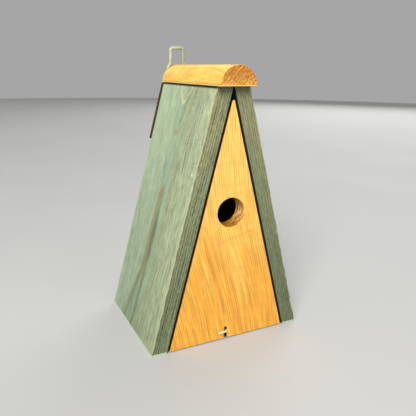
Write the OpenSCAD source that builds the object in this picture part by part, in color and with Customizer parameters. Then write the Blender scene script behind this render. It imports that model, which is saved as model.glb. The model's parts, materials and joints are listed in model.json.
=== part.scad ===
/* [House] */
// Width across the two side boards at the ground
base_w = 164; // [150:1:190]
// Height of the side boards, ground to underside of the ridge cap
house_h = 246; // [230:1:280]
// Depth of the side boards, front edge to back edge
depth = 124; // [110:1:150]
// Thickness of the side boards, the door and the floor
board_t = 16; // [14:0.5:18]

/* [Door] */
// Gap between the door and each side board, measured sideways
door_gap = 2; // [1.8:0.1:3]
// Height of the door's bottom edge above the ground
door_bottom = 1; // [0.8:0.1:2]
// Width of the flat at the door's top
door_top_w = 2.2; // [1.5:0.1:6]
// Diameter of the entrance hole
hole_d = 28; // [25:0.5:32]
// Height of the entrance hole's centre
hole_z = 132; // [120:1:140]
// Height of the nails that the door swings on
pivot_z = 168; // [160:1:175]
// How far the pivot nails lie behind the door's face
pivot_inset = 7; // [6:0.5:8]

/* [Ridge cap] */
// Radius of the half-round ridge cap
cap_r = 18.2; // [17.5:0.1:20]
// How far the cap overhangs the front
cap_front = 9; // [4:0.5:14]
// How far the cap overhangs the back
cap_back = 1.5; // [0:0.1:1.6]

/* [Floor and back] */
// Height of the floor's underside
floor_z = 2; // [2:0.5:3]
// Gap between the floor's front edge and the door
floor_gap = 0.6; // [0.4:0.1:2]
// Diameter of the drain holes in the floor
drain_d = 6; // [4:0.5:8]
// Thickness of the back panel
back_t = 16; // [12:0.5:18]

/* [Latch] */
// Diameter of the latch hook's wire
latch_d = 2.2; // [1.8:0.1:2.4]
// How far the latch hook sits left of the middle
latch_x = 3; // [0:0.5:6]
// Height of the latch hook's shank
latch_z = 9.8; // [9.6:0.1:11]
// Length of the hook's arm, from the middle of the shank
latch_arm = 9.4; // [8:0.1:9.4]
// Slope of the arm below level when the door is latched, in degrees
latch_tilt = 4; // [0:1:10]
// Width of the slot that the hook passes through
slot_w = 2.8; // [2.8:0.1:4]
// Height of the slot's round top
slot_top = 13.6; // [13:0.1:16]

/* [Hanger] */
// Diameter of the hanger's wire
wire_d = 3.5; // [3:0.1:3.6]
// Width of the hanger loop, outside
loop_w = 18; // [16:0.5:22]
// Height of the loop's top above the ridge cap
loop_rise = 18.8; // [14:0.2:26]
// Spacing of the wire's feet where they enter the hanger block
feet_w = 20.6; // [19:0.2:24]
// Thickness of the hanger block on the back
block_t = 6.5; // [6.5:0.1:9]
// Height of the hanger block
block_h = 59; // [50:1:70]

/* [Fixings] */
// Diameter of the pivot nails' shanks
nail_d = 2.4; // [2:0.1:2.6]
// Length of the pivot nails
nail_l = 30; // [26:1:32]
// Diameter of the brads that hold the boards
brad_d = 1.6; // [1.3:0.1:1.8]
// Length of the brads
brad_l = 32; // [28:1:34]
// Length of the hanger block's screws
screw_l = 20; // [16:1:21]

/* [Hidden] */
$fn = 48;

// Colours
green = [0.46, 0.55, 0.42];
pine = [0.93, 0.68, 0.33];
pale_pine = [0.95, 0.76, 0.42];
brown = [0.25, 0.19, 0.12];
zinc = [0.78, 0.79, 0.80];
cream = [0.80, 0.82, 0.68];

// Tilt of the side boards: their inner faces meet at the ridge, just under the cap.
half_w = base_w / 2;
reach = sqrt(half_w * half_w + house_h * house_h);
tilt = acos(board_t / reach) - atan(house_h / half_w);
board_level = board_t / cos(tilt);
function outer_x(z) = half_w - z * tan(tilt);
function inner_x(z) = outer_x(z) - board_level;

// The origin is on the ground, below the middle of the whole object's box.
front_y = -depth / 2 + (cap_front - block_t) / 2;
back_y = front_y + depth;
overcut = 1;

// Door
pivot_y = front_y + pivot_inset;
door_top = house_h - (door_gap + door_top_w / 2) / tan(tilt);
pivot_clearance = 0.08;
pivot_bore_extra = 2;

// Pivot nails
nail_head_d = 4;
nail_head_t = 1.2;
nail_proud = 0.4;
nail_head_x = outer_x(pivot_z) + nail_proud;

// Back panel stops where it is a narrow strip under the ridge.
back_top_half = 1.2;
back_top = house_h - back_top_half / tan(tilt);

// Floor
floor_front = front_y + board_t + floor_gap;
floor_back = back_y - back_t;
drain_x = 26;
drain_y = 24;

// Latch
latch_clearance = 0.06;
latch_reach = 2.4;
latch_bend = 2;
latch_embed = 20;
latch_y = front_y - latch_reach;

// Hanger
wire_r = wire_d / 2;
wire_y = back_y + 3.6;
loop_x = loop_w / 2 - wire_r;
loop_z = house_h + cap_r + loop_rise - wire_r;
loop_bend = 3;
foot_x = feet_w / 2;
jog_low = house_h + cap_r - 3.2;
jog_high = house_h + cap_r + 1.4;
wire_bottom = house_h - 30;
block_top = house_h - 0.6;
block_bottom = house_h - 0.6 - block_h;

// Screws of the hanger block, as [x, z]
screw_d = 3.2;
screw_head_d = 6.4;
screw_head_t = 1.8;
recess_w = 0.8;
recess_l = 3.6;
recess_depth = 1.2;
screw_low = block_bottom + 13;
screw_side = outer_x(screw_low) - board_level / 2;
SCREWS = [[-screw_side, screw_low], [screw_side, screw_low], [0, house_h - 25]];

// Brads lie below the surface, and the wood is filled and stained over them.
brad_sunk = 0.8;
BACK_BRAD_Z = [28, 96, 160];
FLOOR_BRAD_Y = [floor_front + 18, floor_back - 18];
floor_mid_z = floor_z + board_t / 2;
cap_brad_x = 9.5;
CAP_BRAD_Y = [front_y + 22, back_y - 22];
cap_brad_top = house_h + sqrt(cap_r * cap_r - cap_brad_x * cap_brad_x) - 2;

// A flat plate standing across the house: outline in X and Z, from y0 to y1.
module across(outline, y0, y1) {
    translate([0, y1, 0]) rotate([90, 0, 0])
        linear_extrude(height = y1 - y0) polygon(outline);
}

// A rod from one point along +X, +Y or +Z, by its direction's name.
module rod(at, dir, d, l) {
    translate(at)
        rotate(dir == "x" ? [0, 90, 0] : dir == "y" ? [-90, 0, 0] : [0, 0, 0])
            cylinder(d = d, h = l);
}

// Places its children on the right, and mirrored on the left.
module both_sides() {
    children();
    mirror([1, 0, 0]) children();
}

// Brads of the right-hand side, driven level through the side board.
module side_brads(z, y) {
    rod([outer_x(z) - brad_sunk - brad_l, y, z], "x", brad_d, brad_l);
}

module right_back_brads() {
    for (z = BACK_BRAD_Z) side_brads(z, back_y - back_t / 2);
}

module right_floor_brads() {
    for (y = FLOOR_BRAD_Y) side_brads(floor_mid_z, y);
}

module right_cap_brads() {
    for (y = CAP_BRAD_Y) rod([cap_brad_x, y, cap_brad_top - brad_l], "z", brad_d, brad_l);
}

// One pivot nail, on the right-hand side, with its head sunk into the slanted face.
module right_pivot_nail() {
    rod([nail_head_x - nail_l, pivot_y, pivot_z], "x", nail_d, nail_l);
    rod([nail_head_x - nail_head_t, pivot_y, pivot_z], "x", nail_head_d, nail_head_t);
}

// The nail's hole and the seat of its head, open to the outside.
module right_pivot_seat() {
    rod([0, pivot_y, pivot_z], "x", nail_d, half_w);
    rod([nail_head_x - nail_head_t, pivot_y, pivot_z], "x", nail_head_d, half_w);
}

// A countersunk wood screw, head towards +Y, its top face at y = 0.
module wood_screw() {
    rotate([90, 0, 0]) rotate_extrude()
        polygon([
            [0, 0], [screw_head_d / 2, 0], [screw_d / 2, screw_head_t],
            [screw_d / 2, screw_l - 2], [0, screw_l]
        ]);
}

// Screws of the hanger block, driven from behind.
module place_screws() {
    for (s = SCREWS) translate([s[0], back_y + block_t, s[1]]) children();
}

// A tilted side board on the right-hand side, cut level at its top and bottom.
module right_board() {
    difference() {
        across([
            [outer_x(0), 0], [outer_x(house_h), house_h],
            [inner_x(house_h), house_h], [inner_x(0), 0]
        ], front_y, back_y);
        right_pivot_seat();
        right_back_brads();
        right_floor_brads();
        right_cap_brads();
        place_screws() wood_screw();
    }
}

module left_side_board() {
    color(green) mirror([1, 0, 0]) right_board();
}

module right_side_board() {
    color(green) right_board();
}

// The back panel is held between the side boards, flush with their back edges.
module back_panel() {
    color(green) difference() {
        across([
            [-inner_x(0), 0], [inner_x(0), 0],
            [inner_x(back_top), back_top], [-inner_x(back_top), back_top]
        ], back_y - back_t, back_y);
        both_sides() right_back_brads();
        place_screws() wood_screw();
    }
}

// The floor is bevelled to the side boards, and has four drain holes.
module floor_board() {
    mid_y = (floor_front + floor_back) / 2;
    low = floor_z;
    high = floor_z + board_t;
    color(pine) difference() {
        across([
            [-inner_x(low), low], [inner_x(low), low],
            [inner_x(high), high], [-inner_x(high), high]
        ], floor_front, floor_back);
        for (x = [-drain_x, drain_x], y = [mid_y - drain_y, mid_y + drain_y])
            rod([x, y, low - overcut], "z", drain_d, board_t + 2 * overcut);
        both_sides() right_floor_brads();
        rod([-latch_x, floor_front - overcut, latch_z], "y",
            latch_d + 2 * latch_clearance, latch_embed + overcut + 1);
    }
}

// Half-round ridge cap, flat side down on the side boards' level-cut tops.
module ridge_cap() {
    cap_l = depth + cap_front + cap_back;
    color(pale_pine) difference() {
        translate([0, back_y + cap_back, house_h]) rotate([90, 0, 0])
            linear_extrude(height = cap_l) intersection() {
                circle(r = cap_r, $fn = 96);
                translate([-cap_r, 0]) square([2 * cap_r, cap_r]);
            }
        both_sides() right_cap_brads();
    }
}

// The door's plain outline.
module door_blank() {
    low = inner_x(door_bottom) - door_gap;
    across([
        [-low, door_bottom], [low, door_bottom],
        [door_top_w / 2, door_top], [-door_top_w / 2, door_top]
    ], front_y, front_y + board_t);
}

// The slot up from the door's bottom edge, with a round top.
module latch_slot() {
    slot_y = front_y - overcut;
    slot_l = board_t + 2 * overcut;
    round_z = slot_top - slot_w / 2;
    translate([-latch_x - slot_w / 2, slot_y, door_bottom - overcut])
        cube([slot_w, slot_l, round_z - door_bottom + overcut]);
    rod([-latch_x, slot_y, round_z], "y", slot_w, slot_l);
}

module front_door() {
    bore_end = nail_head_x - nail_l - pivot_bore_extra;
    color(pine) difference() {
        door_blank();
        rod([0, front_y - overcut, hole_z], "y", hole_d, board_t + 2 * overcut);
        latch_slot();
        both_sides() rod([bore_end, pivot_y, pivot_z], "x",
            nail_d + 2 * pivot_clearance, half_w);
    }
}

module pivot_nails() {
    color(zinc) both_sides() right_pivot_nail();
}

// The latch: a square-bend hook whose arm lies across the slot, or along it to free the door.
module latch_hook() {
    color(zinc) translate([-latch_x, 0, latch_z]) rotate([0, -latch_tilt, 0]) {
        rod([0, latch_y + latch_bend, 0], "y", latch_d,
            floor_front + latch_embed - latch_y - latch_bend);
        translate([-latch_bend, latch_y + latch_bend, 0]) rotate([0, 0, -90])
            rotate_extrude(angle = 90, $fn = 48)
                translate([latch_bend, 0]) circle(d = latch_d, $fn = 32);
        rod([-latch_arm, latch_y, 0], "x", latch_d, latch_arm - latch_bend);
    }
}

// Half of the hanger's outline: foot, jog, leg, bend and half of the top bar.
module half_hanger() {
    jog = [loop_x - foot_x, 0, jog_high - jog_low];
    jog_l = norm(jog);
    rod([foot_x, wire_y, wire_bottom], "z", wire_d, jog_low - wire_bottom);
    translate([foot_x, wire_y, jog_low]) {
        sphere(d = wire_d, $fn = 32);
        rotate([0, -atan2(-jog[0], jog[2]), 0]) cylinder(d = wire_d, h = jog_l);
        translate(jog) sphere(d = wire_d, $fn = 32);
    }
    rod([loop_x, wire_y, jog_high], "z", wire_d, loop_z - loop_bend - jog_high);
    translate([loop_x - loop_bend, wire_y, loop_z - loop_bend]) rotate([90, 0, 0])
        rotate_extrude(angle = 90, $fn = 48)
            translate([loop_bend, 0]) circle(d = wire_d, $fn = 32);
    rod([-0.01, wire_y, loop_z], "x", wire_d, loop_x - loop_bend + 0.01);
}

module hanger_wire() {
    color(cream) both_sides() half_hanger();
}

// The block behind the ridge that holds the wire's feet, flush with the boards' faces.
module hanger_block() {
    color(brown) difference() {
        across([
            [-outer_x(block_bottom), block_bottom], [outer_x(block_bottom), block_bottom],
            [outer_x(block_top), block_top], [-outer_x(block_top), block_top]
        ], back_y, back_y + block_t);
        both_sides() rod([foot_x, wire_y, wire_bottom], "z", wire_d, house_h);
        place_screws() wood_screw();
    }
}

module hanger_screws() {
    color(zinc) difference() {
        place_screws() wood_screw();
        place_screws() for (turn = [0, 90]) rotate([0, turn, 0])
            translate([-recess_l / 2, -recess_depth, -recess_w / 2])
                cube([recess_l, recess_depth + overcut, recess_w]);
    }
}

module back_brads() {
    color(zinc) both_sides() right_back_brads();
}

module floor_brads() {
    color(zinc) both_sides() right_floor_brads();
}

module cap_brads() {
    color(zinc) both_sides() right_cap_brads();
}

left_side_board();
right_side_board();
back_panel();
floor_board();
ridge_cap();
front_door();
pivot_nails();
latch_hook();
hanger_block();
hanger_wire();
hanger_screws();
back_brads();
floor_brads();
cap_brads();
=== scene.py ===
"""A birdhouse of tilted, green-stained boards with a natural door and ridge cap.

Shapes are worked out in millimetres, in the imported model's own frame (+Z up, front towards -Y),
and piece() turns them into metres. Materials read object coordinates, also in millimetres.
"""
import json
from math import acos, atan, cos, hypot, pi, radians, sin, tan

import bmesh
import bpy
from mathutils import Matrix, Vector, noise


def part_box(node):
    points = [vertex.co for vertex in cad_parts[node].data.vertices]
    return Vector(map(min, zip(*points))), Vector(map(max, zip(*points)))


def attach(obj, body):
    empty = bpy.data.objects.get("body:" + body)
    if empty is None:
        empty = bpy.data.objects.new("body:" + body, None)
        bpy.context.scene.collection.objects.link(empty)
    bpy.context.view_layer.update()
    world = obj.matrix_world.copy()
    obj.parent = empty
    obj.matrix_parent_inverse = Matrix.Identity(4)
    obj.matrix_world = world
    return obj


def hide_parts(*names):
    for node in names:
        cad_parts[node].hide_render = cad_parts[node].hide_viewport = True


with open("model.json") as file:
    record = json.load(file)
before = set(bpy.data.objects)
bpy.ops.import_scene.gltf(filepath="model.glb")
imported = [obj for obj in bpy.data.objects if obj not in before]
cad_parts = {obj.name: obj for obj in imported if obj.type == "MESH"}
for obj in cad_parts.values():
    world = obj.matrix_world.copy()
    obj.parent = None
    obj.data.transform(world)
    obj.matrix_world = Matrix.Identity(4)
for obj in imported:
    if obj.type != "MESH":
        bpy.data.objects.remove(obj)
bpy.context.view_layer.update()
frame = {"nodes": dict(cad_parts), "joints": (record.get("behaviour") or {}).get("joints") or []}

MM = 0.001


# ---------------------------- sizes, in millimetres


def span(node):
    """Lowest and highest corner of a CAD node, in millimetres."""
    low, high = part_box(node)
    return low / MM, high / MM


def joint_place(name):
    """Where a joint's axis passes, in millimetres."""
    joint = next(j for j in frame["joints"] if j["name"] == name)
    return Vector(joint["pos_m"]) / MM


board_low, board_high = span("right_side_board")
door_low, door_high = span("front_door")
back_low, back_high = span("back_panel")
floor_low, floor_high = span("floor_board")
cap_low, cap_high = span("ridge_cap")
block_low, block_high = span("hanger_block")
wire_low, wire_high = span("hanger_wire")
hook_low, hook_high = span("latch_hook")
nail_high = span("pivot_nails")[1]

FRONT = board_low.y
BACK = board_high.y
HOUSE_H = board_high.z
HALF_W = board_high.x
BOARD_T = door_high.y - door_low.y
TILT = acos(BOARD_T / hypot(HALF_W, HOUSE_H)) - atan(HOUSE_H / HALF_W)
BOARD_LEVEL = BOARD_T / cos(TILT)

PIVOT = joint_place("door_swing")
LATCH = joint_place("latch_turn")

WIRE_R = (wire_high.y - wire_low.y) / 2
WIRE_Y = (wire_high.y + wire_low.y) / 2
FOOT_X = wire_high.x - WIRE_R

# Sizes that no box in the frame gives
LEG_X = 9.0 - WIRE_R
HOLE_R = 14.0
HOLE_Z = 132.0
SLOT_W = 2.8
SLOT_TOP = 13.6
NAIL_R = 1.2
NAIL_HEAD_R = 2.0
NAIL_HEAD_T = 1.2
NAIL_L = 30.0
EDGE_EASE = 0.5
DOOR_EASE = 0.45
GRAIN_PITCH = 2.0
LENGTH_PITCH = 4.5

RIGHT = (1, 0, 0)
REARWARD = (0, 1, 0)
FORWARD = (0, -1, 0)
UP = (0, 0, 1)
DOWN = (0, 0, -1)


def outer_x(z):
    """Half-width of the house at a height, to the side boards' outer faces."""
    return HALF_W - z * tan(TILT)


def inner_x(z):
    """Half-width at a height, to the side boards' inner faces."""
    return outer_x(z) - BOARD_LEVEL


# ---------------------------- mesh tools, in millimetres


def arc(centre_x, centre_z, radius, start, end, steps):
    """Points along an arc in X and Z, from one angle to another, in degrees."""
    angles = [radians(start + (end - start) * i / steps) for i in range(steps + 1)]
    return [(centre_x + radius * cos(a), centre_z + radius * sin(a)) for a in angles]


def trapezium(low, high, half_width):
    """An upright outline between two heights; half_width gives its half-width at a height."""
    foot, top = half_width(low), half_width(high)
    return [(-foot, low), (foot, low), (top, high), (-top, high)]


def skin(rings):
    """A closed solid over rings of points, with a face at each end."""
    bm = bmesh.new()
    rows = [[bm.verts.new(point) for point in ring] for ring in rings]
    sides = len(rows[0])
    for low, high in zip(rows, rows[1:]):
        for i in range(sides):
            j = (i + 1) % sides
            bm.faces.new((low[i], low[j], high[j], high[i]))
    bm.faces.new(rows[0])
    bm.faces.new(rows[-1])
    bmesh.ops.recalc_face_normals(bm, faces=bm.faces)
    return bm


def prism(outline, y0, y1):
    """A closed solid from an outline in X and Z, between two depths."""
    return skin([[(x, y, z) for x, z in outline] for y in (y0, y1)])


def ease_edges(bm, width):
    """Rounds every edge that turns by more than 30 degrees."""
    edges = [e for e in bm.edges if e.calc_face_angle(0) > radians(30)]
    bmesh.ops.bevel(
        bm, geom=edges, offset=width, segments=3, profile=0.5, affect="EDGES", clamp_overlap=True
    )


def slice_along(bm, axis, places):
    """Cuts every face across an axis, so that its surface can be shaped there."""
    for place in places:
        geometry = bm.verts[:] + bm.edges[:] + bm.faces[:]
        bmesh.ops.bisect_plane(
            bm, geom=geometry, dist=1e-4, plane_co=axis * place, plane_no=axis
        )


def spread(low, high, pitch, margin=1.2):
    """Cutting places about a pitch apart, with one close to each end."""
    count = max(1, round((high - low - 2 * margin) / pitch))
    return [low + margin + (high - low - 2 * margin) * i / count for i in range(count + 1)]


def roughen(bm, ridges, waves, seed, across=2.2, along=26.0, grain="z"):
    """Sinks the surface unevenly: fine ridges along the grain, and slow waves over the board."""
    stretch = Vector((1 / across, 1 / across, 1 / across))
    setattr(stretch, grain, 1 / along)
    offset = Vector((seed * 7.3, seed * 3.1, seed * 5.7))
    moves = []
    for vert in bm.verts:
        fine = noise.noise(vert.co * stretch + offset)
        slow = noise.noise(vert.co / 38.0 - offset)
        sink = ridges * (0.5 + 0.5 * fine) + waves * (0.5 + 0.5 * slow)
        moves.append((vert, vert.normal * sink))
    for vert, move in moves:
        vert.co -= move


def turned(profile, at, direction, sides=32):
    """A closed turned solid. The profile is (distance along, radius), from a point, in a direction."""
    turn = Vector(direction).to_track_quat("Z", "Y")
    at = Vector(at)
    angles = [2 * pi * i / sides for i in range(sides)]
    return skin([
        [at + turn @ Vector((radius * cos(a), radius * sin(a), along)) for a in angles]
        for along, radius in profile
    ])


def wire(path, radius, plane, sides=20, dome=5):
    """A round wire along a flat path, with rounded ends. `plane` is the path's own normal."""
    plane = Vector(plane).normalized()
    path = [Vector(p) for p in path]
    first = (path[1] - path[0]).normalized()
    last = (path[-1] - path[-2]).normalized()
    tip = 0.2
    rises = [pi / 2 * (i + tip) / (dome + tip) for i in range(dome + 1)]
    stations = [(path[0] + first * radius * (1 - cos(a)), first, radius * sin(a)) for a in rises]
    for before, point, after in zip(path, path[1:], path[2:]):
        stations.append((point, (after - before).normalized(), radius))
    for a in reversed(rises):
        stations.append((path[-1] - last * radius * (1 - cos(a)), last, radius * sin(a)))
    angles = [2 * pi * i / sides for i in range(sides)]
    rings = []
    for centre, tangent, size in stations:
        side = plane.cross(tangent).normalized()
        rings.append([centre + (plane * cos(a) + side * sin(a)) * size for a in angles])
    return skin(rings)


def bend(centre, radius, plane, steps=8):
    """Points round a quarter bend; `plane` turns an angle's cosine and sine into a direction."""
    angles = [pi / 2 * i / steps for i in range(steps + 1)]
    return [Vector(centre) + plane(cos(a), sin(a)) * radius for a in angles]


def piece(name, bm, sharp=35):
    """Makes an object in metres from a mesh in millimetres, smooth but for its sharp edges."""
    bmesh.ops.transform(bm, matrix=Matrix.Scale(MM, 4), verts=bm.verts)
    mesh = bpy.data.meshes.new(name)
    bm.to_mesh(mesh)
    bm.free()
    mesh.shade_smooth()
    mesh.set_sharp_from_angle(angle=radians(sharp))
    made = bpy.data.objects.new(name, mesh)
    bpy.context.scene.collection.objects.link(made)
    return made


def joined(parts):
    """One mesh made of several."""
    whole = bmesh.new()
    for part in parts:
        mesh = bpy.data.meshes.new("part")
        part.to_mesh(mesh)
        part.free()
        whole.from_mesh(mesh)
        bpy.data.meshes.remove(mesh)
    return whole


def drill(target, cutters, sharp=35):
    """Cuts turned solids out of a piece."""
    tool_piece = piece("cutter", joined(cutters))
    cut = target.modifiers.new("cut", "BOOLEAN")
    cut.operation = "DIFFERENCE"
    cut.solver = "EXACT"
    cut.object = tool_piece
    bpy.context.view_layer.update()
    evaluated = target.evaluated_get(bpy.context.evaluated_depsgraph_get())
    shaped = bpy.data.meshes.new_from_object(evaluated)
    target.modifiers.clear()
    old = target.data
    target.data = shaped
    shaped.name = target.name
    bpy.data.meshes.remove(old)
    bpy.data.objects.remove(tool_piece)
    shaped.shade_smooth()
    shaped.set_sharp_from_angle(angle=radians(sharp))


def even_normals(target):
    """Keeps broad faces flat beside their rounded edges."""
    modifier = target.modifiers.new("even_normals", "WEIGHTED_NORMAL")
    modifier.keep_sharp = True
    modifier.weight = 80


def fit(target, body, node, material):
    """Puts a finished piece in the frame, in place of its CAD node."""
    target.data.materials.clear()
    target.data.materials.append(material)
    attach(target, body)
    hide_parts(node)


# ---------------------------- material tools


def paint(red, green, blue, light=1.3):
    """The surface colour that shows as this screen colour (0 to 255) under the studio's light."""
    channels = []
    for value in (red, green, blue):
        share = value / 255
        linear = share / 12.92 if share <= 0.04045 else ((share + 0.055) / 1.055) ** 2.4
        channels.append(linear / light)
    return (*channels, 1.0)


class Graph:
    """A material's node tree, written as sums: each call adds one node and returns its output."""

    def __init__(self, name):
        self.material = bpy.data.materials.new(name)
        self.material.use_nodes = True
        self.tree = self.material.node_tree
        self.shader = self.tree.nodes["Principled BSDF"]
        coordinates = self.node("TexCoord")
        self.place = self.vector("SCALE", coordinates.outputs["Object"], scale=1 / MM)
        self.normal = coordinates.outputs["Normal"]

    def node(self, kind, **settings):
        made = self.tree.nodes.new("ShaderNode" + kind)
        for key, value in settings.items():
            setattr(made, key, value)
        return made

    def feed(self, socket, value):
        if isinstance(value, bpy.types.NodeSocket):
            self.tree.links.new(value, socket)
        else:
            socket.default_value = value

    def fill(self, made, values):
        for socket, value in zip(made.inputs, values):
            self.feed(socket, value)

    def math(self, operation, *values):
        made = self.node("Math", operation=operation)
        self.fill(made, values)
        return made.outputs[0]

    def chain(self, operation, values):
        total = values[0]
        for value in values[1:]:
            total = self.math(operation, total, value)
        return total

    def add(self, *values):
        return self.chain("ADD", values)

    def times(self, *values):
        return self.chain("MULTIPLY", values)

    def most(self, *values):
        return self.chain("MAXIMUM", values)

    def less(self, first, second):
        return self.math("SUBTRACT", first, second)

    def apart(self, first, second):
        """The distance between two values."""
        return self.math("ABSOLUTE", self.less(first, second))

    def vector(self, operation, *values, scale=None):
        made = self.node("VectorMath", operation=operation)
        self.fill(made, [value[:3] if isinstance(value, tuple) else value for value in values])
        if scale is not None:
            self.feed(made.inputs["Scale"], scale)
        return made.outputs["Value" if operation in ("DOT_PRODUCT", "LENGTH") else "Vector"]

    def along(self, direction, offset=0.0):
        """Distance in millimetres along a direction, plus an offset."""
        return self.add(self.vector("DOT_PRODUCT", self.place, direction), offset)

    def length(self, x, y):
        """The length of a slanting line from its two legs."""
        return self.vector("LENGTH", self.space(x, y, 0.0))

    def facing(self, direction):
        """From 0 to 1, how squarely the surface faces a direction of the object's own frame."""
        return self.fade(self.vector("DOT_PRODUCT", self.normal, direction), 0.45, 0.9)

    def on_ends(self):
        """From 0 to 1, how squarely the surface faces forwards or rearwards."""
        return self.add(self.facing(FORWARD), self.facing(REARWARD))

    def space(self, x, y, z):
        made = self.node("CombineXYZ")
        self.fill(made, (x, y, z))
        return made.outputs[0]

    def noise(self, place, size, seed=0.0, detail=2.0):
        """Even noise about 0.5, with features of a size in millimetres."""
        moved = self.vector("ADD", place, (seed * 31.7, seed * 17.3, seed * 11.9))
        made = self.node("TexNoise")
        self.feed(made.inputs["Vector"], moved)
        made.inputs["Scale"].default_value = 1 / size
        made.inputs["Detail"].default_value = detail
        return made.outputs["Fac"]

    def streaks(self, place, across, length, seed=0.0, detail=2.0):
        """Noise drawn out along the grain, which runs along the place's Z."""
        drawn = self.vector("MULTIPLY", place, (1.0, 1.0, across / length))
        return self.noise(drawn, across, seed, detail)

    def uneven(self, place, across, length, seed=0.0, detail=2.0):
        """The same drawn-out noise, about 0."""
        return self.less(self.streaks(place, across, length, seed, detail), 0.5)

    def fade(self, value, low, high, start=0.0, end=1.0):
        """Goes smoothly from start to end as the value goes from low to high."""
        made = self.node("MapRange", interpolation_type="SMOOTHSTEP")
        self.fill(made, (value, low, high, start, end))
        return made.outputs[0]

    def route(self, value, points):
        """A smooth line through (value, result) points, given in order of value."""
        values, results = zip(*points)
        start, reach = values[0], values[-1] - values[0]
        low, rise = min(results), max(results) - min(results)
        places = [((x - start) / reach, (y - low) / rise) for x, y in points]
        made = self.node("FloatCurve")
        line = made.mapping.curves[0].points
        for place in places[1:-1]:
            line.new(*place)
        line[0].location = places[0]
        line[len(places) - 1].location = places[-1]
        made.mapping.update()
        self.feed(made.inputs["Value"], self.math("DIVIDE", self.less(value, start), reach))
        return self.math("MULTIPLY_ADD", made.outputs[0], rise, low)

    def between(self, value, low, high, soft):
        """1 between two limits, fading out over a softness outside them."""
        entering = self.fade(self.less(value, low), -soft, 0.0)
        leaving = self.fade(self.less(value, high), 0.0, soft, 1.0, 0.0)
        return self.times(entering, leaving)

    def blend(self, share, first, second):
        """A colour between two others."""
        made = self.node("Mix", data_type="RGBA")
        self.feed(made.inputs[0], share)
        self.feed(made.inputs[6], first)
        self.feed(made.inputs[7], second)
        return made.outputs[2]

    def shade(self, colour, factor):
        """A colour made lighter or darker."""
        return self.vector("SCALE", colour, scale=factor)

    def around(self, value, amount):
        """Turns noise about 0.5 into a factor about 1."""
        return self.math("MULTIPLY_ADD", value, amount, 1 - amount / 2)

    def finish(self, colour, roughness, height=None, depth=0.2):
        """Joins the colour, the roughness and a relief of a depth in millimetres to the shader."""
        self.feed(self.shader.inputs["Base Color"], colour)
        self.feed(self.shader.inputs["Roughness"], roughness)
        if height is not None:
            bump = self.node("Bump")
            bump.inputs["Distance"].default_value = depth * MM
            bump.inputs["Strength"].default_value = 1.0
            self.feed(bump.inputs["Height"], height)
            self.feed(self.shader.inputs["Normal"], bump.outputs[0])
        return self.material


class BoardSpace:
    """A board's own directions: depth below its good face, across it, and along its grain."""

    def __init__(self, g, depth, across, along):
        self.depth = g.along(*depth)
        self.across = g.along(*across)
        self.along = g.along(*along)
        self.place = g.space(self.depth, self.across, self.along)


def side_space(g, side):
    """The space of a tilted side board: side is -1 for the left board and 1 for the right."""
    depth = ((-side * cos(TILT), 0, -sin(TILT)), HALF_W * cos(TILT))
    along = ((-side * sin(TILT), 0, cos(TILT)), HALF_W * sin(TILT))
    return BoardSpace(g, depth, (REARWARD, 0.0), along)


def growth_rings(g, space, pith, turn_height, rise, fall, pitch, wander, seed):
    """Rings round a pith line that nears the face above and below a height, as on a flat-sawn
    board. Returns the ring number, and the distance across from the pith."""
    swing = g.less(g.noise(space.place, 55.0, seed, 1.0), 0.5)
    off = g.math("MULTIPLY_ADD", swing, wander, g.less(space.across, pith[0]))
    above = g.most(g.less(space.along, turn_height), 0.0)
    below = g.most(g.less(turn_height, space.along), 0.0)
    pith_depth = g.less(g.less(pith[1], g.times(above, above, rise)), g.times(below, fall))
    radius = g.length(off, g.less(space.depth, pith_depth))
    return g.math("DIVIDE", radius, pitch), off


def ring_line(g, ring, start, end):
    """The hard late wood of each ring: it comes up slowly and ends sharply."""
    part = g.math("FRACT", ring)
    rising = g.fade(part, start, end)
    ending = g.fade(part, end + 0.02, min(end + 0.14, 1.0), 1.0, 0.0)
    return g.times(rising, ending)


# ---------------------------- materials


def v_line(g, off, height, tip, arms, width):
    """A V of late wood that opens upwards: `arms` gives its half-width at heights above its tip."""
    half = g.route(height, [(tip, 0.0), *arms])
    distance = g.apart(g.math("ABSOLUTE", off), half)
    line = g.fade(distance, width * 0.3, width, 1.0, 0.0)
    return g.times(line, g.fade(height, tip - 2.5, tip - 0.5))


def left_figure(g, y, height, face):
    """The left board's figure: pale Vs at the top over a blue-green band, and below them a brown
    streak that splits into two lines towards the bottom."""
    wobble = g.uneven(g.space(0.0, y, height), 3.5, 12.0, 21.0)
    y = g.math("MULTIPLY_ADD", wobble, 6.0, y)
    broken = g.fade(g.noise(g.place, 4.5, 22.0), 0.34, 0.6)
    band = g.times(g.between(y, -5.0, 9.0, 9.0), g.between(height, 162.0, 222.0, 18.0))
    face = g.blend(g.times(band, 0.55), face, paint(146, 172, 144))
    face = brown_streak(g, y, height, face, broken)
    return pale_vs(g, y, height, face, broken)


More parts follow.
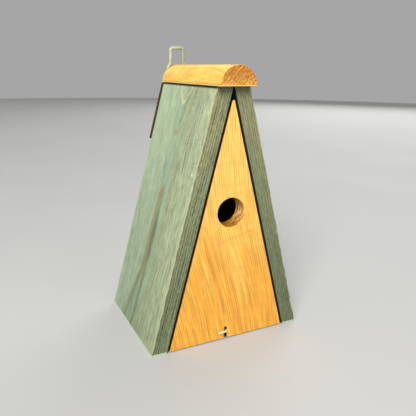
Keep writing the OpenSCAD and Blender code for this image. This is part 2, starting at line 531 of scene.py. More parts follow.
def brown_streak(g, y, height, face, broken):
    """The streak down the middle: golden behind, dark in front, and two legs below."""
    left = g.route(height, [
        (0, 30.6), (12, 28.2), (32, 21.8), (50, 15.6), (68, 11.0), (100, 9.8),
        (134, 9.4), (144, 8.0), (151, 0.5), (158, -4.0), (180, -9.0),
    ])
    right = g.route(height, [
        (0, 1.8), (25, -1.4), (66, -3.2), (100, -4.4),
        (138, -3.8), (152, -4.0), (166, -5.5), (180, -9.0),
    ])
    from_left = g.less(y, left)
    from_right = g.less(y, right)

    below = g.fade(height, 145.0, 180.0, 1.0, 0.0)
    beside = g.most(g.between(from_left, 1.0, 4.0, 4.0), g.between(from_right, -6.0, -1.5, 4.0))
    patchy = g.fade(g.streaks(g.space(0.0, y, height), 6.0, 30.0, 23.0), 0.36, 0.6, 0.25, 0.75)
    face = g.blend(g.times(beside, below, patchy), face, paint(152, 180, 152))

    in_from_left = g.fade(from_left, -1.8, 1.8, 1.0, 0.0)
    fading_out = g.fade(height, 140.0, 158.0, 1.0, 0.1)
    inside = g.times(g.fade(from_right, -1.8, 1.8), in_from_left, fading_out)
    fork = g.fade(height, 56.0, 74.0, 1.0, 0.0)
    hollow = g.times(g.fade(from_right, 5.2, 8.0), g.fade(from_left, -8.4, -5.6, 1.0, 0.0), fork)
    face = g.blend(hollow, face, paint(150, 174, 142))

    streak = g.times(inside, g.less(1.0, hollow))
    golden = g.times(g.fade(from_left, -6.0, -1.5), g.fade(broken, 0.0, 1.0, 0.5, 1.0))
    tint = g.blend(golden, paint(130, 134, 94), paint(156, 149, 99))
    face = g.blend(g.times(streak, g.fade(height, 90.0, 150.0, 0.8, 0.65)), face, tint)
    above_fork = g.fade(height, 58.0, 84.0, 0.3, 1.0)
    dark = g.times(streak, g.fade(from_right, 9.6, 5.6), g.fade(height, 138.0, 106.0), above_fork)
    face = g.blend(g.times(dark, 0.6), face, paint(98, 105, 72))
    rusty = g.times(streak, g.between(height, 138.0, 145.0, 8.0), 0.28)
    face = g.blend(rusty, face, paint(158, 136, 86))
    low_spot = g.times(streak, g.between(height, 43.0, 52.0, 8.0), g.fade(from_left, -7.0, -4.0), 0.3)
    face = g.blend(low_spot, face, paint(132, 120, 66))

    tail_y = g.route(height, [(138, -1.6), (158, -4.0), (182, -8.6)])
    tail = g.fade(g.apart(y, tail_y), 0.6, 2.0, 1.0, 0.0)
    tail = g.times(tail, g.between(height, 150.0, 174.0, 10.0), 0.65)
    return g.blend(tail, face, paint(166, 154, 108))


def pale_vs(g, y, height, face, broken):
    """Two pale Vs of late wood below the cap, and a small brown mark in the point of the second."""
    first = v_line(g, g.less(y, 1.0), height, 228.0, [(231, 3.6), (237, 8.4), (246, 13.4)], 2.9)
    face = g.blend(g.times(first, g.fade(broken, 0.0, 1.0, 0.4, 0.8)), face, paint(214, 210, 160))
    second = [(204, 3.4), (214, 9.2), (230, 15.4), (246, 21.6)]
    arms = v_line(g, g.less(y, 1.2), height, 196.0, second, 2.4)
    arms = g.times(arms, g.fade(y, -1.5, 3.0, 0.8, 0.15), g.fade(broken, 0.0, 1.0, 0.4, 1.0))
    face = g.blend(arms, face, paint(196, 194, 146))
    mark = v_line(g, g.less(y, 1.6), height, 196.0, [(200, 1.6), (205, 3.2)], 2.6)
    mark = g.times(mark, g.fade(height, 201.0, 204.5, 1.0, 0.0))
    face = g.blend(g.times(mark, 0.6), face, paint(160, 132, 80))
    point = g.times(mark, g.fade(height, 198.5, 196.5), 0.7)
    return g.blend(point, face, paint(204, 186, 132))


class SawnGrain:
    """The unevenness of a sawn board, which its face and edges share: noises about 0."""

    def __init__(self, g, space, seed):
        place = space.place
        self.fibre = g.uneven(place, 1.1, 26.0, seed + 1)
        self.band = g.uneven(place, 3.4, 40.0, seed + 2)
        self.broad = g.uneven(place, 12.0, 70.0, seed + 3, 1.0)
        self.mottle = g.less(g.noise(place, 9.0, seed + 4), 0.5)
        self.drift = g.times(g.uneven(place, 5.0, 60.0, seed + 5), 9.0)
        self.beads = g.uneven(place, 1.4, 3.8, seed + 6)
        self.tuft = g.uneven(place, 1.9, 11.0, seed + 8)
        self.strands = g.uneven(place, 1.5, 26.0, seed + 10)
        slant = g.times(space.across, 0.1)
        skewed = g.space(space.depth, slant, g.add(space.along, slant))
        saw = g.less(g.noise(skewed, 1.9, seed + 9, 1.0), 0.5)
        self.saw = g.times(saw, g.fade(g.noise(place, 16.0, seed + 11), 0.44, 0.6))


def stained_face(g, space, height, grain, late, figure):
    """The stained face: blue-green behind, yellower and fuzzier towards the front edge, with painted
    shade low down and towards the back.
    """
    across = space.across
    front_zone = g.fade(across, -34.0, 4.0, 1.0, 0.0)
    face = g.blend(g.fade(across, -50.0, 46.0), paint(170, 181, 144), paint(174, 193, 158))
    dip = g.times(g.fade(across, -40.0, -14.0), g.fade(across, 6.0, -8.0))
    face = g.blend(dip, face, paint(158, 171, 134))
    face = g.blend(g.fade(across, -46.0, -57.0, 0.0, 0.6), face, paint(181, 193, 152))
    face = g.blend(g.times(late, 0.15 if figure else 0.55), face, paint(136, 146, 108))
    if figure:
        face = figure(g, across, height, face)

    saw_depth = g.fade(height, 60.0, 190.0, 0.25, 0.5)
    lines = g.math("SINE", g.add(g.times(across, 1.05), grain.drift))
    marks = g.add(
        g.times(grain.broad, 0.30), g.times(grain.mottle, 0.32), g.times(grain.fibre, 0.9),
        g.times(grain.band, g.fade(front_zone, 0.0, 1.0, 0.36, 0.65)),
        g.times(grain.tuft, g.fade(front_zone, 0.0, 1.0, 0.35, 1.1)),
        g.times(grain.saw, saw_depth, g.fade(front_zone, 0.0, 1.0, 0.3, 1.0)),
        g.times(lines, front_zone, 0.035),
    )
    face = g.shade(face, g.add(1.0, marks))
    # Painted shade: the face darker towards the bottom.
    lower = g.route(height, [
        (0, 0.81), (25, 0.836), (75, 0.92), (120, 0.96), (170, 1.0), (HOUSE_H, 1.02),
    ])
    # Painted shade: darker towards the back, least near the top.
    behind = g.route(height, [
        (0, -0.09), (30, -0.10), (70, -0.135), (120, -0.10), (175, -0.06), (HOUSE_H, 0.02),
    ])
    behind = g.times(g.fade(across, -2.0, 16.0), behind)
    return g.shade(face, g.times(lower, g.add(1.0, behind)))


def stained_edge(g, space, height, grain, side):
    """The sawn front and back edges: bluer by the door and low down, in strong fibres."""
    low_down = g.fade(height, 225.0, 20.0)
    by_door = g.times(g.fade(space.depth, 3.0, 15.0), g.fade(height, 225.0, 160.0, 0.1, 1.0))
    edge = g.blend(low_down, paint(134, 135, 97), paint(106, 114, 80))
    edge = g.blend(g.times(by_door, 0.5), edge, paint(108, 125, 96))
    lines = g.math("SINE", g.add(g.times(space.depth, 2.6), grain.drift))
    fibres = g.add(g.times(lines, 0.27), g.times(grain.beads, 1.5), g.times(grain.strands, 1.2))
    strong = 1.0 if side < 0 else 0.7
    edge = g.shade(edge, g.add(1.0, g.times(fibres, strong), g.times(grain.mottle, 0.15)))
    if side > 0:
        edge = g.shade(edge, g.fade(height, 0.0, 180.0, 0.86, 0.97))
    return edge


def worn_and_lit_wood(g, space, height, grain, colour):
    """Paler wood along the outer corners and the foot: partly wear, partly painted highlight."""
    from_middle = g.apart(space.across, (FRONT + BACK) / 2)
    from_ends = g.less((BACK - FRONT) / 2, from_middle)
    gap = g.add(space.depth, g.most(from_ends, 0.0))
    # Partly wear and partly painted highlight along the outer corners.
    wear_and_highlight = g.fade(g.add(gap, g.times(grain.tuft, 6.5)), 0.3, 1.5, 1.0, 0.0)
    colour = g.blend(g.times(wear_and_highlight, 0.5), colour, paint(196, 206, 166))
    # Partly wear and partly painted highlight along the foot.
    foot = g.fade(g.add(height, g.times(grain.tuft, 2.0)), 1.2, 2.5, 1.0, 0.0)
    return g.blend(g.times(foot, 0.85), colour, paint(204, 222, 196))


def shade_line(g, height, on_edge, colour):
    """Painted shade: a dark line below the cap."""
    # Painted shade below the cap's overhang.
    below_cap = g.fade(height, HOUSE_H - 2.6, HOUSE_H - 1.3)
    weight = g.times(below_cap, g.fade(on_edge, 0.0, 1.0, 0.95, 0.3))
    return g.blend(weight, colour, paint(22, 25, 18))


def bare_inside(g, space, grain, colour):
    """The inner face: bare wood, kept dark as painted shade, and near black beside the door as painted
    shade for the gap.
    """
    # Painted shade: the bare wood of the inside is kept dark.
    bare = g.shade(paint(104, 104, 72), g.add(1.0, g.times(grain.band, 1.2), g.times(grain.fibre, 0.8)))
    # Painted shade: near black beside the door, where the gap is in shadow.
    shade_behind_door = g.fade(space.across, door_high.y + 1.0, door_high.y + 7.0)
    bare = g.blend(shade_behind_door, paint(22, 24, 16), bare)
    return g.blend(g.fade(space.depth, BOARD_T - 0.9, BOARD_T - 0.45), colour, bare)


def green_side(name, side, seed, figure=None):
    """Rough-sawn softwood with a thin green stain, on one side board."""
    g = Graph(name)
    space = side_space(g, side)
    height = g.along(UP)
    ring, off = growth_rings(
        g, space, pith=(-16.0, 35.0), turn_height=150.0, rise=0.0016, fall=0.012,
        pitch=4.4, wander=11.0, seed=seed,
    )
    middle = g.fade(g.math("ABSOLUTE", off), 14.0, 50.0, 1.0, 0.3)
    late = g.times(ring_line(g, ring, 0.4, 0.86), middle)
    grain = SawnGrain(g, space, seed)

    face = stained_face(g, space, height, grain, late, figure)
    on_edge = g.on_ends()
    colour = g.blend(on_edge, face, stained_edge(g, space, height, grain, side))
    colour = worn_and_lit_wood(g, space, height, grain, colour)
    colour = shade_line(g, height, on_edge, colour)
    colour = bare_inside(g, space, grain, colour)

    relief = g.add(
        g.times(grain.fibre, 0.6), g.times(grain.band, 0.4), g.times(grain.tuft, 0.3), g.times(late, 0.2)
    )
    roughness = g.fade(grain.band, -0.3, 0.3, 0.72, 0.9)
    return g.finish(colour, roughness, relief, depth=0.3)


def green_panel(name, seed):
    """The same stained wood on the upright back panel."""
    g = Graph(name)
    space = BoardSpace(g, depth=(FORWARD, BACK), across=(RIGHT, 0.0), along=(UP, 0.0))
    ring, off = growth_rings(
        g, space, pith=(-14.0, 30.0), turn_height=70.0, rise=0.0004, fall=0.03,
        pitch=3.6, wander=11.0, seed=seed,
    )
    fine = g.streaks(space.place, 0.75, 30.0, seed + 1)
    coarse = g.streaks(space.place, 2.6, 95.0, seed + 2)
    broad = g.streaks(space.place, 9.0, 170.0, seed + 3, 1.0)
    face = g.blend(broad, paint(160, 178, 146), paint(184, 200, 166))
    middle = g.fade(g.math("ABSOLUTE", off), 12.0, 46.0, 0.75, 0.25)
    line = g.times(ring_line(g, ring, 0.4, 0.86), middle)
    face = g.blend(line, face, paint(136, 148, 110))
    face = g.shade(face, g.around(fine, 0.30))
    face = g.shade(face, g.around(coarse, 0.16))
    relief = g.add(g.times(fine, 0.7), g.times(coarse, 0.4), g.times(line, 0.3))
    roughness = g.fade(coarse, 0.2, 0.8, 0.70, 0.88)
    return g.finish(face, roughness, relief, depth=0.28)


def bored_wall(g, x, y, z, seed):
    """The entrance hole's wall, with torn fibres and with end grain at its top and bottom. Returns
    how far a place is on it, and its colour."""
    from_hole = g.length(x, g.less(z, HOLE_Z))
    bored = g.fade(from_hole, HOLE_R + 0.15, HOLE_R + 0.7, 1.0, 0.0)
    level = g.math("ABSOLUTE", g.vector("DOT_PRODUCT", g.normal, UP))
    end_grain = g.fade(level, 0.45, 0.95)
    wall = g.blend(end_grain, paint(255, 206, 120), paint(200, 138, 50))
    torn = g.fade(g.noise(g.space(y, x, g.times(z, 0.2)), 2.2, seed + 7, 3.0), 0.42, 0.58, 0.0, 0.8)
    wall = g.blend(torn, wall, g.blend(end_grain, paint(168, 106, 38), paint(136, 82, 22)))
    return bored, wall


def oiled_face(g, x, z, waved, line, coarse, mottle):
    """The door's planed face: paler towards its top, partly its own tone and partly painted light, with
    a brown streak low down.
    """
    # Partly the wood's own tone, partly painted light: paler towards the top.
    tone = g.fade(g.add(z, g.times(mottle, 90.0)), 40.0, 205.0)
    face = g.blend(tone, paint(243, 171, 56), paint(252, 211, 109))
    light = g.times(g.between(waved, 22.0, 30.0, 7.0), g.between(z, 62.0, 112.0, 30.0))
    face = g.blend(g.times(light, 0.6), face, paint(254, 208, 102))
    face = g.blend(g.fade(coarse, 0.42, 0.72, 0.0, 0.5), face, paint(252, 210, 98))
    face = g.blend(g.times(line, 0.75), face, paint(224, 144, 46))
    streak = g.fade(g.apart(waved, -0.4), 0.3, 2.2, 1.0, 0.0)
    streak = g.times(streak, g.between(z, 36.0, 96.0, 26.0), g.fade(coarse, 0.3, 0.55, 0.25, 1.0))
    face = g.blend(g.times(streak, 0.65), face, paint(208, 124, 38))
    arc_line = g.between(g.less(z, g.times(x, 0.24)), 105.0, 106.6, 1.2)
    arc_line = g.times(arc_line, g.between(x, -9.0, 22.0, 6.0), 0.25)
    return g.blend(arc_line, face, paint(222, 142, 50))


def pine_door(name, seed):
    """Planed softwood under clear oil, its grain running a little askew."""
    g = Graph(name)
    x = g.along(RIGHT)
    y = g.along(REARWARD, -FRONT)
    z = g.along(UP)
    lean = g.route(z, [
        (0, 0), (40, 8.2), (80, 19), (105, 26), (130, 31.5), (160, 36), (200, 40), (236, 42),
    ])
    across = g.add(x, lean)
    place = g.space(y, across, z)

    swing = g.less(g.noise(place, 30.0, seed), 0.5)
    waved = g.math("MULTIPLY_ADD", swing, 5.0, across)
    ring = g.math("DIVIDE", g.add(waved, g.times(y, 0.35)), 2.4)
    patchy = g.fade(g.streaks(place, 5.0, 26.0, seed + 1), 0.40, 0.62, 0.15, 1.0)
    line = g.times(ring_line(g, ring, 0.25, 0.8), patchy)
    fine = g.uneven(place, 1.3, 40.0, seed + 2)
    coarse = g.streaks(place, 3.0, 34.0, seed + 3)
    smudge = g.less(g.noise(g.vector("MULTIPLY", place, (1.0, 0.28, 1.0)), 4.5, seed + 4), 0.5)
    mottle = g.less(g.noise(place, 24.0, seed + 6), 0.5)

    face = oiled_face(g, x, z, waved, line, coarse, mottle)
    contrast = g.fade(z, 20.0, 120.0, 1.35, 0.9)
    face = g.shade(face, g.add(1.0, g.times(fine, contrast), g.times(smudge, 0.22)))

    bored, wall = bored_wall(g, x, y, z, seed)
    colour = g.blend(bored, face, wall)
    # The sawn sides and the slot are dark brown wood: painted shade, for the shadow in the gaps beside
    # the door and in the slot
    sawn = g.times(g.less(1.0, g.on_ends()), g.less(1.0, bored))
    side_grain_in_shade = g.shade(paint(80, 46, 24), g.add(1.0, g.times(fine, 1.6), g.times(smudge, 1.2)))
    colour = g.blend(sawn, colour, side_grain_in_shade)

    relief = g.add(g.times(fine, 0.5), g.times(line, -0.4))
    roughness = g.fade(fine, 0.2, 0.8, 0.46, 0.62)
    return g.finish(colour, roughness, relief, depth=0.12)


def cap_side(g, x, y, z, line, fine, coarse, cloud):
    """The cap's colour along its length, with painted shade: darker towards its lower edge, and deeper
    towards the back end but for its top.
    """
    # Painted shade: darker towards the lower edge.
    face = g.blend(g.fade(z, 2.0, 17.0), paint(246, 197, 84), paint(254, 220, 113))
    # Painted shade: deeper and more orange towards the back end.
    shade_towards_back = g.times(g.fade(y, 0.0, 55.0), g.fade(z, 13.0, 17.0, 0.5, 0.05))
    face = g.blend(shade_towards_back, face, paint(250, 200, 96))
    face = g.blend(g.fade(coarse, 0.46, 0.62, 0.0, 0.6), face, paint(255, 226, 124))
    face = g.blend(g.times(line, g.fade(cloud, 0.36, 0.6), 0.5), face, paint(236, 172, 68))
    face = g.blend(g.times(g.fade(cloud, 0.52, 0.66), 0.45), face, paint(240, 182, 76))
    face = g.shade(face, g.add(1.0, g.times(g.less(fine, 0.5), 0.5)))
    curve = g.route(y, [
        (-70, 10.6), (-63, 12.2), (-51, 13.9), (-34, 15.0), (10, 15.1), (41, 14.3), (65, 13.2),
    ])
    late = g.fade(g.apart(z, curve), 0.15, 0.9, 1.0, 0.0)
    late = g.times(late, g.fade(x, -1.0, -5.0), g.fade(y, -46.0, -10.0, 0.8, 0.35))
    face = g.blend(late, face, paint(236, 168, 72))
    resin = g.length(g.add(x, 8.0), g.less(y, cap_high.y - 2.0))
    face = g.blend(g.fade(resin, 2.2, 5.0, 0.85, 0.0), face, paint(206, 142, 78))
    lower = g.fade(z, 3.6, 0.8)
    face = g.blend(g.times(lower, g.fade(coarse, 0.35, 0.6)), face, paint(240, 176, 76))
    # Painted highlight along the cap's lower edge.
    return g.blend(g.fade(z, 1.3, 0.4), face, paint(255, 232, 140))


def cap_end(g, z, place, line, seed):
    """The cap's end grain: speckled, and paler towards its lower edge."""
    speck = g.noise(place, 1.2, seed + 3)
    drawn = g.noise(g.vector("MULTIPLY", place, (0.3, 1.0, 1.0)), 0.95, seed + 4)
    end = g.blend(g.fade(drawn, 0.36, 0.64), paint(180, 108, 26), paint(226, 158, 62))
    end = g.blend(g.times(line, 0.6), end, paint(158, 88, 22))
    bright = g.times(g.fade(speck, 0.46, 0.62), g.fade(z, 12.0, 2.0))
    end = g.blend(g.times(bright, 0.8), end, paint(252, 198, 100))
    return g.blend(g.fade(z, 2.0, 0.6, 0.0, 0.75), end, paint(255, 206, 120))


def pine_cap(name, seed):
    """Sanded moulding: pale along its length, with diagonal rings on its end grain."""
    g = Graph(name)
    x = g.along(RIGHT)
    y = g.along(REARWARD)
    z = g.along(UP, -cap_low.z)
    slanted = g.less(g.times(x, 0.77), g.times(z, 0.64))
    place = g.space(g.add(g.times(x, 0.64), g.times(z, 0.77)), slanted, y)

    swing = g.less(g.noise(place, 7.0, seed), 0.5)
    ring = g.math("DIVIDE", g.math("MULTIPLY_ADD", swing, 3.2, slanted), 3.3)
    line = ring_line(g, ring, 0.25, 0.80)
    fine = g.streaks(place, 1.2, 34.0, seed + 1)
    coarse = g.streaks(place, 2.6, 46.0, seed + 2)
    cloud = g.streaks(place, 6.5, 24.0, seed + 5)

    face = cap_side(g, x, y, z, line, fine, coarse, cloud)
    colour = g.blend(g.on_ends(), face, cap_end(g, z, place, line, seed))
    # Painted shade: the cap's underside dark brown.
    colour = g.blend(g.facing(DOWN), colour, paint(120, 72, 30))

    relief = g.add(g.times(fine, 0.4), g.times(line, -0.3))
    roughness = g.fade(coarse, 0.2, 0.8, 0.48, 0.64)
    return g.finish(colour, roughness, relief, depth=0.12)


def pine_floor(name, seed):
    """Unplaned pine on the floor, its grain from side to side."""
    g = Graph(name)
    place = g.space(g.along(UP), g.along(REARWARD), g.along(RIGHT))
    swing = g.less(g.noise(place, 40.0, seed, 1.0), 0.5)
    ring = g.math("DIVIDE", g.math("MULTIPLY_ADD", swing, 10.0, g.along((0, 1, 0.4))), 4.2)
    line = ring_line(g, ring, 0.3, 0.84)
    fine = g.streaks(place, 0.8, 30.0, seed + 1)
    coarse = g.streaks(place, 3.0, 80.0, seed + 2)
    colour = g.blend(coarse, paint(222, 170, 98), paint(240, 196, 120))
    colour = g.blend(g.times(line, 0.6), colour, paint(190, 128, 62))
    colour = g.shade(colour, g.around(fine, 0.2))
    relief = g.add(g.times(fine, 0.6), g.times(line, 0.3))
    return g.finish(colour, g.fade(fine, 0.2, 0.8, 0.66, 0.82), relief, depth=0.22)


def brown_block(name, seed):
    """Dark brown stained hardwood."""
    g = Graph(name)
    place = g.space(g.along(REARWARD), g.along(RIGHT), g.along(UP))
    fine = g.streaks(place, 0.6, 18.0, seed)
    coarse = g.streaks(place, 2.4, 60.0, seed + 1)
    pores = g.fade(g.streaks(place, 0.5, 7.0, seed + 2), 0.62, 0.74)
    colour = g.blend(coarse, paint(50, 38, 15), paint(76, 59, 30))
    colour = g.shade(colour, g.around(fine, 0.5))
    colour = g.blend(g.times(pores, 0.7), colour, paint(28, 20, 10))
    relief = g.add(g.times(fine, 0.4), g.times(pores, -0.6))
    g.shader.inputs["Specular IOR Level"].default_value = 0.25
    return g.finish(colour, g.fade(fine, 0.2, 0.8, 0.66, 0.84), relief, depth=0.15)


def zinc_plate(name, seed, tone, shaded_from=None):
    """Bright zinc plating: faintly clouded, with fine drawing marks, and darkened behind a depth as
    painted shade.
    """
    g = Graph(name)
    cloud = g.noise(g.place, 1.6, seed, 3.0)
    marks = g.noise(g.vector("MULTIPLY", g.place, (1.0, 0.15, 1.0)), 0.35, seed + 1)
    dull_share = 0.82
    dull = tuple(value * dull_share for value in tone)
    colour = g.blend(g.fade(cloud, 0.3, 0.7), paint(*dull, light=1.0), paint(*tone, light=1.0))
    if shaded_from is not None:
        # Painted shade: darker behind the given depth, where the shank lies in the slot.
        behind = g.along(REARWARD, -shaded_from)
        colour = g.shade(colour, g.fade(behind, 0.0, 1.4, 1.0, 0.16))
    g.shader.inputs["Metallic"].default_value = 0.4
    roughness = g.fade(g.add(cloud, g.times(marks, 0.4)), 0.4, 0.9, 0.30, 0.5)
    return g.finish(colour, roughness, marks, depth=0.02)


def coated_wire(name, seed):
    """Satin cream coating, a little rubbed, browner low down by the cap, and darker on its right leg as
    painted shade.
    """
    g = Graph(name)
    cloud = g.noise(g.place, 5.0, seed, 3.0)
    rubs = g.fade(g.noise(g.place, 1.4, seed + 1, 3.0), 0.6, 0.72)
    low = g.fade(g.along(UP), cap_high.z - 4, cap_high.z + 5, 1.0, 0.0)
    colour = g.blend(g.fade(cloud, 0.3, 0.7), paint(178, 182, 140), paint(198, 200, 160))
    # Painted shade: the right leg darker, turned from the light.
    colour = g.blend(g.fade(g.along(RIGHT), -4.0, 6.0, 0.0, 0.75), colour, paint(150, 162, 128))
    colour = g.blend(g.times(low, 0.45), colour, paint(196, 170, 112))
    colour = g.blend(g.times(rubs, 0.35), colour, paint(168, 172, 140))
    return g.finish(colour, g.fade(cloud, 0.3, 0.7, 0.36, 0.52), cloud, depth=0.05)


def pale_floor():
    """The studio floor: matt and pale, with the slightest unevenness."""
    g = Graph("studio_floor")
    cloud = g.noise(g.place, 240.0, 0.0, 3.0)
    colour = g.blend(cloud, paint(196, 196, 195), paint(204, 204, 203))
    return g.finish(colour, g.fade(cloud, 0.3, 0.7, 0.7, 0.8))


# ---------------------------- pieces


def sawn_board(name, outline, y0, y1, seed, cuts_x):
    """A rough-sawn upright board: eased edges, fine ridges along the grain and slight waves."""
    bm = prism(outline, y0, y1)
    ease_edges(bm, EDGE_EASE)
    heights = [z for x, z in outline]
    slice_along(bm, Vector(RIGHT), cuts_x)
    slice_along(bm, Vector(UP), spread(min(heights), max(heights), LENGTH_PITCH))
    slice_along(bm, Vector(REARWARD), spread(y0, y1, GRAIN_PITCH))
    bm.normal_update()
    roughen(bm, ridges=0.12, waves=0.08, seed=seed)
    return piece(name, bm)


def side_board(name, node, side, seed):
    """A tilted side board, cut level at its top and bottom, with the pivot nail's seat."""
    outline = [
        (side * outer_x(0), 0), (side * outer_x(HOUSE_H), HOUSE_H),
        (side * inner_x(HOUSE_H), HOUSE_H), (side * inner_x(0), 0),
    ]
    board = sawn_board(name, outline, FRONT, BACK, seed, [])
    seat_r = NAIL_HEAD_R + 0.12
    bore_r = NAIL_R + 0.05
    reach = nail_high.x + 12
    seat_floor = nail_high.x - NAIL_HEAD_T - 0.05
    seat_l = reach - seat_floor
    seat = turned(
        [(0, seat_r), (seat_l, seat_r), (seat_l + 0.02, bore_r), (reach, bore_r)],
        (side * reach, PIVOT.y, PIVOT.z), (-side, 0, 0),
    )
    drill(board, [seat])
    even_normals(board)
    figure = left_figure if side < 0 else None
    fit(board, "house", node, green_side(name + "_stain", side, seed, figure))


def pivot_nail(side):
    """A nail from its domed head, on the outside, to its point in the door."""
    shank, head, neck = NAIL_R, NAIL_HEAD_R, NAIL_HEAD_T
    profile = [
        (0.0, 0.4), (0.05, head * 0.55), (0.18, head * 0.85), (0.42, head),
        (neck - 0.25, head), (neck, head * 0.9), (neck + 0.02, shank + 0.15), (neck + 0.5, shank),
        (NAIL_L - 3.2, shank), (NAIL_L - 1.4, shank * 0.62), (NAIL_L, 0.08),
    ]
    return turned(profile, (side * nail_high.x, PIVOT.y, PIVOT.z), (-side, 0, 0))


def pivot_nails():
    """Both pivot nails as one piece, one on each side."""
    nails = piece("pivot_nail_pair", joined([pivot_nail(side) for side in (-1, 1)]))
    fit(nails, "house", "pivot_nails", zinc_plate("nail_zinc", 1.0, (226, 229, 208)))


def back_board():
    """The back panel, which narrows to a strip under the ridge."""
    outline = trapezium(0, back_high.z, inner_x)
    reach = 64.0
    cuts = spread(-reach, reach, GRAIN_PITCH)
    panel = sawn_board("back_panel_sawn", outline, back_low.y, back_high.y, 3.0, cuts)
    even_normals(panel)
    fit(panel, "house", "back_panel", green_panel("back_panel_stain", 3.0))


def floor_piece():
    """The floor, bevelled to the side boards, with drain holes and the latch hook's bore."""
    low, high = floor_low.z, floor_high.z
    bm = prism(trapezium(low, high, inner_x), floor_low.y, floor_high.y)
    ease_edges(bm, EDGE_EASE)
    reach = inner_x(high) - 4
    slice_along(bm, Vector(RIGHT), spread(-reach, reach, LENGTH_PITCH))
    slice_along(bm, Vector(REARWARD), spread(floor_low.y, floor_high.y, GRAIN_PITCH))
    bm.normal_update()
    roughen(bm, ridges=0.12, waves=0.15, seed=4.0, grain="x")
    board = piece("floor_board_sawn", bm)
    drain_x, drain_y, drain_r = 26.0, 24.0, 3.0
    middle = (floor_low.y + floor_high.y) / 2
    drains = [
        turned([(0, drain_r), (BOARD_T + 8, drain_r)], (x, middle + y, low - 4), UP)
        for x in (-drain_x, drain_x) for y in (-drain_y, drain_y)
    ]
    bore_r = 1.16
    bore_l = hook_high.y - floor_low.y + 5
    bore = turned([(0, bore_r), (bore_l, bore_r)], (LATCH.x, floor_low.y - 4, LATCH.z), REARWARD)
    drill(board, drains + [bore])
    even_normals(board)
    fit(board, "house", "floor_board", pine_floor("floor_pine", 4.0))


def cap_piece():
    """The half-round ridge cap, with eased ends and small rounded lower corners."""
    radius = cap_high.z - cap_low.z
    bm = prism(arc(0, cap_low.z, radius, 0, 180, 44), cap_low.y, cap_high.y)
    ease_edges(bm, 0.55)
    slice_along(bm, Vector(REARWARD), spread(cap_low.y, cap_high.y, 5.0))
    bm.normal_update()
    roughen(bm, ridges=0.05, waves=0.18, seed=5.0, grain="y")
    cap = piece("ridge_cap_moulding", bm)
    even_normals(cap)
    fit(cap, "house", "ridge_cap", pine_cap("cap_pine", 5.0))


def door_piece():
    """The door: a tall triangle with a small flat top, an entrance hole and the latch slot."""
    low, high = door_low.z, door_high.z
    foot = door_high.x
    tip = foot - (high - low) * tan(TILT)
    slot_r = SLOT_W / 2
    slot = arc(LATCH.x, SLOT_TOP - slot_r, slot_r, 180, 0, 10)
    outline = [
        (-foot, low), (LATCH.x - slot_r, low), *slot, (LATCH.x + slot_r, low),
        (foot, low), (tip, high), (-tip, high),
    ]
    bm = prism(outline, door_low.y, door_high.y)
    ease = DOOR_EASE
    ease_edges(bm, ease)
    door = piece("front_door_pine", bm)
    flare = [
        (-2.0, HOLE_R + ease + 2.0), (0.0, HOLE_R + ease),
        (ease * 0.3, HOLE_R + ease * 0.35), (ease, HOLE_R),
        (BOARD_T - ease, HOLE_R), (BOARD_T - ease * 0.3, HOLE_R + ease * 0.35),
        (BOARD_T, HOLE_R + ease), (BOARD_T + 2.0, HOLE_R + ease + 2.0),
    ]
    hole = turned(flare, (0, door_low.y, HOLE_Z), REARWARD, sides=72)
    bore_end = nail_high.x - NAIL_L - 2.0
    bore_r = NAIL_R + 0.08
    bores = [
        turned([(0, bore_r), (60, bore_r)], (side * bore_end, PIVOT.y, PIVOT.z), (side, 0, 0))
        for side in (-1, 1)
    ]
    drill(door, [hole] + bores, sharp=32)
    even_normals(door)
    fit(door, "door", "front_door", pine_door("door_pine", 6.0))


def block_piece():
    """The hanger block, with the wire's two holes in its top and the screws' seats behind."""
    low, high = block_low.z, block_high.z
    bm = prism(trapezium(low, high, outer_x), block_low.y, block_high.y)
    ease_edges(bm, EDGE_EASE)
    block = piece("hanger_block_brown", bm)
    wire_bore_r = WIRE_R + 0.05
    cutters = [
        turned([(0, wire_bore_r), (60, wire_bore_r)], (side * FOOT_X, WIRE_Y, wire_low.z - 0.1), UP)
        for side in (-1, 1)
    ]
    seat_r, bore_r = 3.25, 1.65
    seat = [(-3, seat_r), (0, seat_r), (1.8, bore_r), (16, bore_r)]
    screw_z = low + 13.0
    screw_x = outer_x(screw_z) - BOARD_LEVEL / 2
    for x, z in ((-screw_x, screw_z), (screw_x, screw_z), (0.0, HOUSE_H - 25.0)):
        cutters.append(turned(seat, (x, block_high.y, z), FORWARD))
    drill(block, cutters)
    even_normals(block)
    fit(block, "house", "hanger_block", brown_block("block_brown", 7.0))


def hanger_loop():
    """The hanger: two feet in the block, a jog inwards, two legs and a top bar."""
    top_z = wire_high.z - WIRE_R
    bend_r = 3.0
    jog_low = cap_high.z - 3.2
    jog_high = cap_high.z + 1.4
    jog_h = jog_high - jog_low + 1.2
    right = [(FOOT_X, WIRE_Y, z) for z in (wire_low.z, wire_low.z + 4, jog_low - 1.2)]
    for i in range(1, 8):
        share = i / 8
        ease = share * share * (3 - 2 * share)
        right.append((FOOT_X + (LEG_X - FOOT_X) * ease, WIRE_Y, jog_low - 0.6 + jog_h * share))
    right.append((LEG_X, WIRE_Y, jog_high + 1.2))
    corner = (LEG_X - bend_r, WIRE_Y, top_z - bend_r)
    right += bend(corner, bend_r, lambda c, s: Vector((c, 0, s)))
    left = [(-x, y, z) for x, y, z in reversed(right)]
    loop = piece("hanger_loop", wire(right + left, WIRE_R, REARWARD), sharp=60)
    fit(loop, "house", "hanger_wire", coated_wire("wire_coat", 8.0))


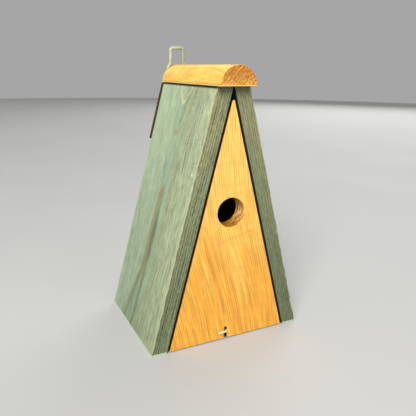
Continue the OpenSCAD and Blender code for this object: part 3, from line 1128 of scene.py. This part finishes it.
def hook_piece():
    """The latch: a square-bend wire hook whose arm lies across the slot."""
    radius = hook_high.x - LATCH.x
    arm_y = hook_low.y + radius
    arm_tilt = radians(4)
    across = Vector((-cos(arm_tilt), 0, -sin(arm_tilt)))
    inwards = Vector(REARWARD)
    corner = Vector((LATCH.x, arm_y, LATCH.z))
    bend_r = 2.0
    arm_l = 9.4
    shank_l = hook_high.y - arm_y
    path = [corner + across * arm_l, corner + across * (arm_l - radius - 0.3)]
    centre = corner + across * bend_r + inwards * bend_r
    path += bend(centre, bend_r, lambda c, s: -inwards * c - across * s)
    path += [corner + inwards * reach for reach in (8, shank_l - 2, shank_l)]
    plane = across.cross(inwards)
    hook = piece("latch_hook_wire", wire(path, radius, plane), sharp=60)
    # The shank behind the arm is darkened as painted shade, where it lies in the slot.
    zinc = zinc_plate("hook_zinc", 9.0, (254, 243, 208), shaded_from=hook_low.y + 1.9)
    fit(hook, "latch", "latch_hook", zinc)


def house():
    """Every piece, in place of its CAD node or with a better material on it."""
    side_board("left_board_sawn", "left_side_board", -1, 1.0)
    side_board("right_board_sawn", "right_side_board", 1, 2.0)
    back_board()
    floor_piece()
    cap_piece()
    door_piece()
    block_piece()
    hanger_loop()
    hook_piece()
    pivot_nails()
    steel = zinc_plate("screw_zinc", 10.0, (200, 200, 196))
    for node in ("hanger_screws", "back_brads", "floor_brads", "cap_brads"):
        for slot in frame["nodes"][node].material_slots:
            slot.material = steel


# ---------------------------- studio


def camera():
    """The viewpoint, in front of the house and to its left, looking a little down."""
    place = Vector((-212.0, -435.82, 260.51)) * MM
    azimuth, elevation, roll = radians(-26.61), radians(16.137), radians(0.676)
    flat = cos(elevation)
    forward = Vector((-sin(azimuth) * flat, cos(azimuth) * flat, -sin(elevation)))
    level = Vector((cos(azimuth), sin(azimuth), 0))
    upright = level.cross(forward)
    right = level * cos(roll) + upright * sin(roll)
    up = upright * cos(roll) - level * sin(roll)
    data = bpy.data.cameras.new("camera")
    data.sensor_width = 36.0
    data.lens = 41.72
    data.clip_start = 0.02
    made = bpy.data.objects.new("camera", data)
    turn = Matrix((right, up, -forward)).transposed().to_4x4()
    made.matrix_world = Matrix.Translation(place) @ turn
    bpy.context.scene.collection.objects.link(made)
    bpy.context.scene.camera = made


def softbox(name, towards, distance, size, power, colour=(1, 1, 1)):
    """A square studio light, aimed at the middle of the house."""
    middle = Vector((0, 0, 0.12))
    place = middle + Vector(towards).normalized() * distance
    data = bpy.data.lights.new(name, "AREA")
    data.shape = "SQUARE"
    data.size = size
    data.energy = power
    data.color = colour
    made = bpy.data.objects.new(name, data)
    made.location = place
    made.rotation_euler = (middle - place).to_track_quat("-Z", "Y").to_euler()
    bpy.context.scene.collection.objects.link(made)


def studio():
    """A pale floor, a pale surround and soft light, strongest from the front left."""
    bm = bmesh.new()
    bmesh.ops.create_circle(bm, cap_ends=True, segments=64, radius=4000.0)
    floor = piece("studio_floor", bm)
    floor.data.materials.append(pale_floor())
    world = bpy.data.worlds.new("studio")
    world.use_nodes = True
    background = world.node_tree.nodes["Background"]
    background.inputs["Color"].default_value = (0.84, 0.84, 0.84, 1)
    background.inputs["Strength"].default_value = 0.45
    bpy.context.scene.world = world
    softbox("key", (-0.46, -0.62, 0.62), 3.2, 1.8, 160.0, (1.0, 0.99, 0.96))
    softbox("fill", (0.72, 0.62, 0.45), 3.2, 2.1, 44.0)
    bpy.context.scene.view_settings.view_transform = "Standard"


camera()
studio()
house()
